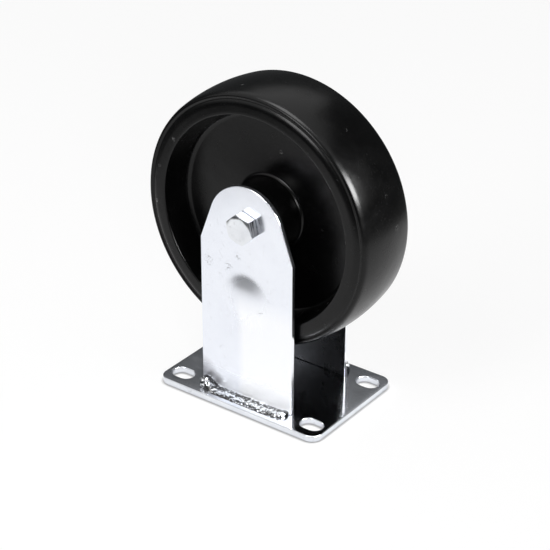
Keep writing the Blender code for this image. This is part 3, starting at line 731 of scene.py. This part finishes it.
def build_bolt(look, streaked):
    bm = bmesh.new()
    first, last = hex_body(bm, HEAD_TOP, UNDER_HEAD, False)
    # the head's top: a shallow turned step and a faint dish in the middle, as (radius, depth) in mm
    inner = first
    for radius, depth in ((6.08, 0.0), (5.624, 0.10), (2.66, 0.14)):
        ring = []
        for vert in first:
            share = radius * MM / math.hypot(vert.co.x, vert.co.z - AXLE)
            ring.append(bm.verts.new((vert.co.x * share, HEAD_TOP + depth * MM,
                                      AXLE + (vert.co.z - AXLE) * share)))
        bridge(bm, inner, ring)
        inner = ring
    bm.faces.new(inner)
    bm.faces.new(last)
    # the shank, then the thread, whose depth grows from nothing and whose end is chamfered
    segments = 40
    rows_per_turn = 6
    start = BOLT_END - THREAD_PITCH * THREAD_TURNS
    length = BOLT_END - 0.01 * MM - start
    shank = [(UNDER_HEAD + 0.01 * MM, BOLT_RADIUS), (start - 0.3 * MM, BOLT_RADIUS)]
    before = lathe(bm, shank, segments, closed=False)[-1]
    rows = THREAD_TURNS * rows_per_turn
    for row in range(rows + 1):
        y = start + length * row / rows
        fade = min(max((y - start) / (THREAD_PITCH * 1.2), 0), 1)
        chamfer = BOLT_RADIUS - max(0, y - (BOLT_END - 1.2 * MM)) * 0.95
        ring = []
        for step in range(segments):
            angle = 2 * math.pi * step / segments
            phase = ((y - start) / THREAD_PITCH - step / segments) % 1.0
            depth = THREAD_DEPTH * min(abs(phase - 0.5) * 2, 0.86)
            radius = min(BOLT_RADIUS - depth * fade, chamfer)
            ring.append(bm.verts.new((radius * math.cos(angle), y, AXLE + radius * math.sin(angle))))
        bridge(bm, before, ring)
        before = ring
    bm.faces.new(before)
    bolt = finish_piece("axle_bolt_forged", bm, look, "fork", "axle_bolt", sharp=32)
    # every other flat of the head takes the streaked grey zinc, painted shade for the flats turned from the
    # light, and painted shade darkens all the flats where they meet the leg
    bolt.data.materials.append(streaked)
    for face in bolt.data.polygons:
        turned = math.atan2(face.normal.z, face.normal.x) - HEX_TURN + math.pi / 6
        if abs(face.normal.y) < 0.1 and face.center.y < UNDER_HEAD - 0.1 * MM:
            low = face.center.y > UNDER_HEAD - JOINT_SHADE_LINE + 0.01 * MM
            if low or abs(math.cos(1.5 * turned)) > 0.9:
                face.material_index = 1


def build_nut(look):
    bm = bmesh.new()
    first, last = hex_body(bm, NUT_FACE, NUT_HEX_END, True)
    # the bore's mouth and the collar with its rolled lip, as (distance from a level, radius) in mm
    mouth = [(NUT_FACE + rise * MM, r * MM) for rise, r in ((0, 7.0), (0, 5.8), (0.5, 5.3))]
    rolled = [(NUT_END - drop * MM, r * MM) for drop, r in (
        (1.0, 7.25), (0.55, 7.1), (0.15, 6.7), (0, 6.2), (0.05, 6.05), (0.45, 6.0), (0.7, 6.0), (0.7, 6.6))]
    root = [(NUT_HEX_END, 7.4 * MM), (NUT_HEX_END + 0.3 * MM, 7.28 * MM)]
    seat = [(NUT_HEX_END, 6.6 * MM), (NUT_HEX_END, 5.3 * MM)]
    bore = lathe(bm, mouth, 72, closed=False)
    collar = lathe(bm, root + rolled + seat, 72, closed=False)
    bridge(bm, bore[-1], collar[-1])
    fill_between(bm, (first, bore[0]))
    fill_between(bm, (last, collar[0]))
    finish_piece("lock_nut_forged", bm, look, "fork", "lock_nut", sharp=32)


# Weld beads
def build_weld(name, side, look, replaced, seed):
    """A bead along a leg's foot: rings across it, each with a corner in the leg's foot and a rippled arc."""
    bm = bmesh.new()
    back = -LEG_OUT - 0.1 * MM
    foot = PLATE_TOP + 0.1 * MM
    stations = 260
    arcs = 22
    rings = []
    for station in range(stations + 1):
        d = BEAD_LENGTH * station / stations
        x = BEAD_LATE - LEG_HALF + d
        near_start = math.exp(-(d / BEAD_START_RUN) ** 4)
        near_end = math.exp(-((BEAD_LENGTH - d) / BEAD_END_RUN) ** 2)
        from_tip = min(d, BEAD_LENGTH - d, BEAD_TIP) / BEAD_TIP
        share = 0.35 + 0.65 * math.sqrt(max(1 - (1 - from_tip) ** 2, 0))
        width = (8.3 - 1.4 * near_start - 1.8 * near_end) * MM * share
        height = (1.25 + 6.4 * near_start + 2.4 * near_end) * MM * share
        drift = 0.8 * noise.noise(Vector((d * 160, seed, 0.0)))
        ring = [bm.verts.new((x, back, foot))]
        for step in range(arcs + 1):
            a = math.pi / 2 * step / arcs
            out = width * math.cos(a)
            up = height * math.sin(a) * (1 - 0.3 * math.sin(a) ** 8)
            # each ripple is an arc that bows along the bead
            bow = (d + 2.2 * MM * math.sin(2 * a)) / BEAD_PITCH + drift
            ripple = abs(math.sin(math.pi * bow)) ** 0.7 - 0.6
            here = Vector((x * 420, a * 2.2 + seed, seed))
            lump = noise.fractal(here, 1.0, 2.0, 2) * 0.42 * MM + ripple * 0.34 * MM
            ease = math.sin(2 * a) * 0.7 + 0.3
            grow = 1 + lump * ease / max(math.hypot(out, up), 0.8 * MM)
            ring.append(bm.verts.new((x, back - out * grow, foot + up * grow)))
        rings.append(ring)
    for first, second in zip(rings, rings[1:]):
        bridge(bm, first, second)
    bm.faces.new(rings[0])
    bm.faces.new(rings[-1])
    if side > 0:
        bmesh.ops.rotate(bm, verts=bm.verts, cent=(0, 0, 0), matrix=Matrix.Rotation(math.pi, 3, "Z"))
    finish_piece(name, bm, look, "fork", replaced, weighted=False, sharp=60)


# Floor, walls, lamps and world
def background_factor(nodes, links, path):
    """1 where the background itself is seen: by the camera, in a reflection or through glass."""
    total = maths(nodes, links, "ADD", path["Is Camera Ray"], path["Is Glossy Ray"])
    total = maths(nodes, links, "ADD", total, path["Is Transmission Ray"])
    return maths(nodes, links, "MINIMUM", total, 1.0)


def mix_shaders(nodes, links, factor, first, second, target):
    mix = nodes.new("ShaderNodeMixShader")
    links.new(factor, mix.inputs["Fac"])
    links.new(first, mix.inputs[1])
    links.new(second, mix.inputs[2])
    links.new(mix.outputs["Shader"], target.inputs["Surface"])


def build_floor():
    bm = bmesh.new()
    bmesh.ops.create_circle(bm, cap_ends=True, radius=0.9, segments=96)
    made, nodes, links = new_material("white_table")
    floor = link_mesh("floor", bm, made)
    floor.location = (0, 0, -0.0001)
    nodes.remove(nodes["Principled BSDF"])
    diffuse = nodes.new("ShaderNodeBsdfDiffuse")
    glow = nodes.new("ShaderNodeEmission")
    path = nodes.new("ShaderNodeLightPath").outputs
    factor = background_factor(nodes, links, path)
    # in reflections the table darkens towards its edge, as the studio round it is dark
    far = away_from(nodes, links, (0.06, -0.03, 0.0))
    fade = ramp(nodes, links, far, 0.32, 0.48, 1.0, 0.12)
    dim = maths(nodes, links, "MULTIPLY", maths(nodes, links, "SUBTRACT", 1.0, fade), path["Is Glossy Ray"])
    # and it has a thin dark line where the plate stands on it: a painted contact shadow, from ambient
    # occlusion, in its glow and its colour
    contact = nodes.new("ShaderNodeAmbientOcclusion")
    contact.samples = 8
    contact.inputs["Distance"].default_value = 0.003
    close = ramp(nodes, links, contact.outputs["AO"], 0.35, 0.85, 0.25, 1.0)
    light = maths(nodes, links, "MULTIPLY", maths(nodes, links, "SUBTRACT", 1.0, dim), close)
    links.new(maths(nodes, links, "MULTIPLY", light, 1.12), glow.inputs["Strength"])
    links.new(ramp(nodes, links, light, 0.0, 1.0, 0.0, 0.85), diffuse.inputs["Color"])
    mix_shaders(nodes, links, maths(nodes, links, "MULTIPLY", factor, 0.76), diffuse.outputs["BSDF"],
                glow.outputs["Emission"], nodes["Material Output"])


def build_wall():
    """The dark room round the table, which shows only in the metal and in the plastic's gloss."""
    bm = bmesh.new()
    radius = 2.2
    low = -1.6
    high = 3.2
    turned = arc((0, 0), radius, 0, 360, 96)[:-1]
    lower = [bm.verts.new((x, y, low)) for x, y in turned]
    upper = [bm.verts.new((x, y, high)) for x, y in turned]
    bridge(bm, lower, upper)
    bm.faces.new(lower)
    made, nodes, links = new_material("dark_room")
    wall = link_mesh("dark_room", bm, made)
    nodes.remove(nodes["Principled BSDF"])
    glow = nodes.new("ShaderNodeEmission")
    glow.inputs["Color"].default_value = (0.93, 0.97, 1.0, 1)
    glow.inputs["Strength"].default_value = 0.08
    clear = nodes.new("ShaderNodeBsdfTransparent")
    place = split_place(nodes, links)
    # the wall gives way to the white room at a height that grows towards +X
    height = maths(nodes, links, "DIVIDE", place["Z"], radius)
    rightward = maths(nodes, links, "MAXIMUM", maths(nodes, links, "ADD", place["X"], 0.35), 0.0)
    rightward = maths(nodes, links, "MULTIPLY", rightward, 1.1)
    height = maths(nodes, links, "SUBTRACT", height, maths(nodes, links, "MINIMUM", rightward, 0.5))
    # and that height is lower in front on the left
    ahead = maths(nodes, links, "ADD", maths(nodes, links, "MULTIPLY", place["X"], -0.60),
                  maths(nodes, links, "MULTIPLY", place["Y"], -0.80))
    ahead = maths(nodes, links, "MAXIMUM", maths(nodes, links, "SUBTRACT", ahead, 1.45), 0.0)
    height = maths(nodes, links, "ADD", height, maths(nodes, links, "MINIMUM", ahead, 0.45))
    fade = ramp(nodes, links, height, 0.62, 0.86, 0.0, 1.0)
    mix_shaders(nodes, links, fade, glow.outputs["Emission"], clear.outputs["BSDF"],
                nodes["Material Output"])
    wall.visible_camera = False
    wall.visible_diffuse = False
    wall.visible_transmission = False
    wall.visible_shadow = False
    wall.visible_volume_scatter = False


def lamp(name, azimuth, elevation, width, height, radiance, gloss):
    """A soft box that lights only matt surfaces, or only shows in gloss. Azimuth 0 is +Y and 90 is +X."""
    a = math.radians(azimuth)
    e = math.radians(elevation)
    away = Vector((math.sin(a) * math.cos(e), math.cos(a) * math.cos(e), math.sin(e)))
    data = bpy.data.lights.new(name, "AREA")
    data.shape = "RECTANGLE"
    data.size = width
    data.size_y = height
    data.energy = radiance * math.pi * width * height
    item = bpy.data.objects.new(name, data)
    item.location = Vector((0, 0, 0.10)) + away * LAMP_DISTANCE
    item.rotation_euler = away.to_track_quat("Z", "Y").to_euler()
    item.visible_camera = False
    item.visible_diffuse = not gloss
    item.visible_glossy = gloss
    bpy.context.scene.collection.objects.link(item)


def build_world():
    world = bpy.data.worlds.new("white_room")
    bpy.context.scene.world = world
    world.use_nodes = True
    nodes, links = world.node_tree.nodes, world.node_tree.links
    plain = nodes["Background"]
    plain.inputs["Color"].default_value = (1, 1, 1, 1)
    plain.inputs["Strength"].default_value = 0.35
    seen = nodes.new("ShaderNodeBackground")
    seen.inputs["Color"].default_value = (1, 1, 1, 1)
    seen.inputs["Strength"].default_value = 1.0
    factor = background_factor(nodes, links, nodes.new("ShaderNodeLightPath").outputs)
    mix_shaders(nodes, links, factor, plain.outputs["Background"], seen.outputs["Background"],
                nodes["World Output"])


# The whole scene
def dress(name, look):
    """Give a solid that stays in the picture its look."""
    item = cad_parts[name]
    if not item.material_slots:
        item.data.materials.append(look)
    for place in item.material_slots:
        place.material = look


def main():
    place_camera()
    build_floor()
    build_wall()
    build_world()
    lamp("key_box", azimuth=138, elevation=20, width=0.45, height=0.42, radiance=15.0, gloss=False)
    lamp("front_strip", azimuth=-166, elevation=34, width=0.5, height=1.5, radiance=4.0, gloss=False)
    lamp("right_gloss", azimuth=94, elevation=24.5, width=1.40, height=0.48, radiance=44.0, gloss=True)
    lamp("front_gloss", azimuth=-174, elevation=28, width=0.6, height=0.5, radiance=8.0, gloss=True)
    lamp("top_gloss", azimuth=-150, elevation=82, width=0.9, height=0.9, radiance=6.0, gloss=True)

    plate_zinc = zinc("plate_zinc", bright=(0.80, 0.82, 0.86), dull=(0.71, 0.73, 0.78),
                      rough_low=0.08, rough_high=0.16, wave=0.10, scratch=0.15, stretch=(60, 2200, 60))
    leg_zinc = zinc("leg_zinc", bright=(0.88, 0.905, 0.965), dull=(0.85, 0.875, 0.94),
                    rough_low=0.18, rough_high=0.23, wave=0.12, scratch=0.08, stretch=(2200, 60, 90))
    wear_leg_and_paint_light(leg_zinc)
    # painted shade: near-black plating for the legs' inner faces and foot edges, in place of the shade
    # between the legs
    inner_zinc_painted_shade = zinc("inner_zinc_painted_shade", bright=(0.12, 0.123, 0.13), dull=(0.08, 0.082, 0.088),
                      rough_low=0.20, rough_high=0.34, wave=0.12, scratch=0.2, stretch=(2200, 60, 90))
    fastener_zinc = zinc("fastener_zinc", bright=(0.85, 0.87, 0.90), dull=(0.74, 0.76, 0.80),
                         rough_low=0.12, rough_high=0.24, wave=0.05, scratch=0.2, stretch=(900, 80, 900))
    black = plastic("wheel_black", colour=(0.0012, 0.0012, 0.0013), scuff=(0.03, 0.03, 0.03),
                    rough_low=0.20, rough_high=0.28, level=0.24)
    scuff_wheel(black)
    weld = weld_look("weld_zinc")
    steel = turned_steel("ground_steel", colour=(0.60, 0.60, 0.61), rough=0.16)
    cage_black = nylon("cage_nylon_black", (0.020, 0.020, 0.021))
    insert_white = nylon("insert_nylon_white", (0.72, 0.73, 0.69))

    build_wheel(black)
    build_plate(plate_zinc)
    build_leg("near_leg_sheet", -1, leg_zinc, inner_zinc_painted_shade, "near_leg")
    build_leg("far_leg_sheet", 1, leg_zinc, inner_zinc_painted_shade, "far_leg")
    build_weld("near_weld_bead", -1, weld, "near_weld", 1.7)
    build_weld("far_weld_bead", 1, weld, "far_weld", 6.2)
    build_bolt(fastener_zinc, streaked_shaded_zinc("fastener_streaked_shade"))
    build_nut(fastener_zinc)

    dress("axle_sleeve", steel)
    dress("near_end_washer", fastener_zinc)
    dress("far_end_washer", fastener_zinc)
    dress("roller_cage", cage_black)
    dress("lock_nut_insert", insert_white)
    for index in range(1, 9):
        dress(f"roller_{index}", steel)

    view = bpy.context.scene.view_settings
    view.view_transform = "Standard"
    bpy.context.view_layer.update()


main()
